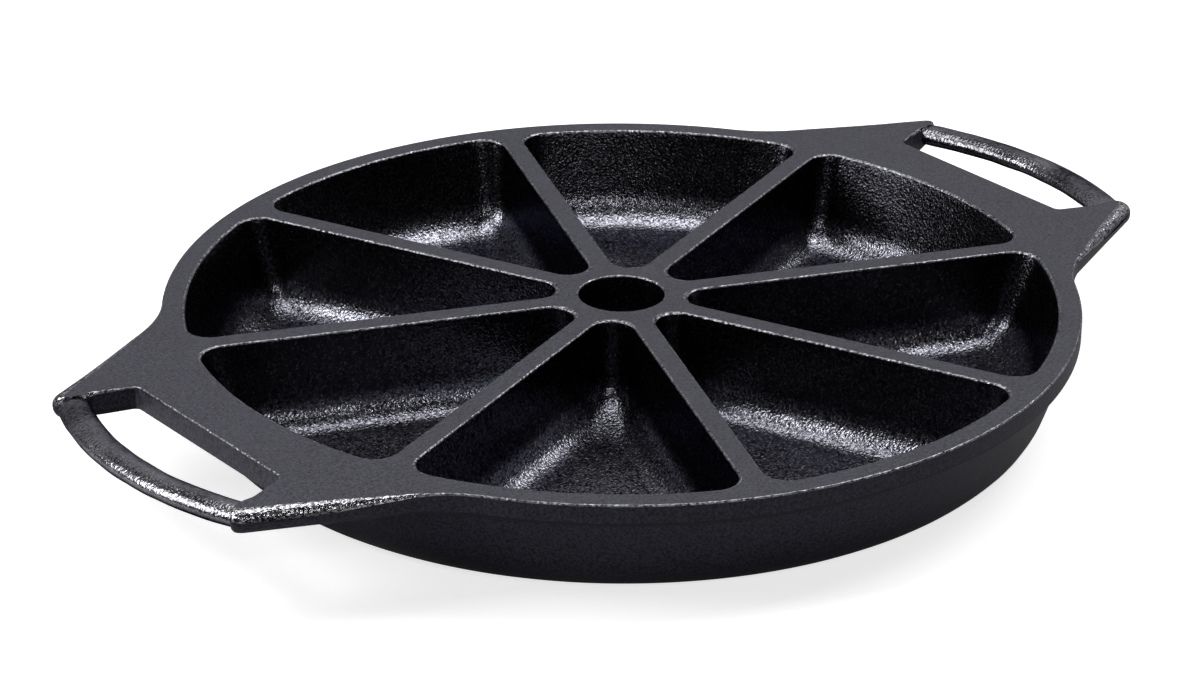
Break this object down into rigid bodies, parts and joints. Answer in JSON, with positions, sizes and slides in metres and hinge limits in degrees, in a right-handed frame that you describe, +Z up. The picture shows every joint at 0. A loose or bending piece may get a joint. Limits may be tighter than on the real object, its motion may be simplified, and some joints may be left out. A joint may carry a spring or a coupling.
{
  "type": "cast iron wedge pan",
  "caption": "Round cast iron baking pan whose bowl is divided by straight ribs into equal wedge wells round a hollow hub, with a flat rim and a loop handle at each side.",
  "frame": {"origin": "middle of the flat underside, on the bowl's vertical axis", "axes": "+X along the line through both handles, towards the right handle; +Z up, out of the wells' mouths"},
  "size_m": [0.319, 0.245, 0.0302],
  "materials": {
    "top_face_iron": "ground flat and seasoned, matt dark grey",
    "outer_skin_iron": "as cast and seasoned, fine grain, satin black grey",
    "grip_iron": "as cast and seasoned, glossy black"
  },
  "bodies": {
    "root": {"base_floor": "outer_skin_iron", "rim_band": "top_face_iron", "hub": "top_face_iron", "rib_1": "top_face_iron", "rib_2": "top_face_iron", "rib_3": "top_face_iron", "rib_4": "top_face_iron", "rib_5": "top_face_iron", "rib_6": "top_face_iron", "rib_7": "top_face_iron", "rib_8": "top_face_iron", "bowl_wall_1": "outer_skin_iron", "bowl_wall_2": "outer_skin_iron", "bowl_wall_3": "outer_skin_iron", "bowl_wall_4": "outer_skin_iron", "bowl_wall_5": "outer_skin_iron", "bowl_wall_6": "outer_skin_iron", "bowl_wall_7": "outer_skin_iron", "bowl_wall_8": "outer_skin_iron", "handle_web_right": "top_face_iron", "handle_web_left": "top_face_iron", "grip_right": "grip_iron", "grip_left": "grip_iron"}
  },
  "joints": []
}
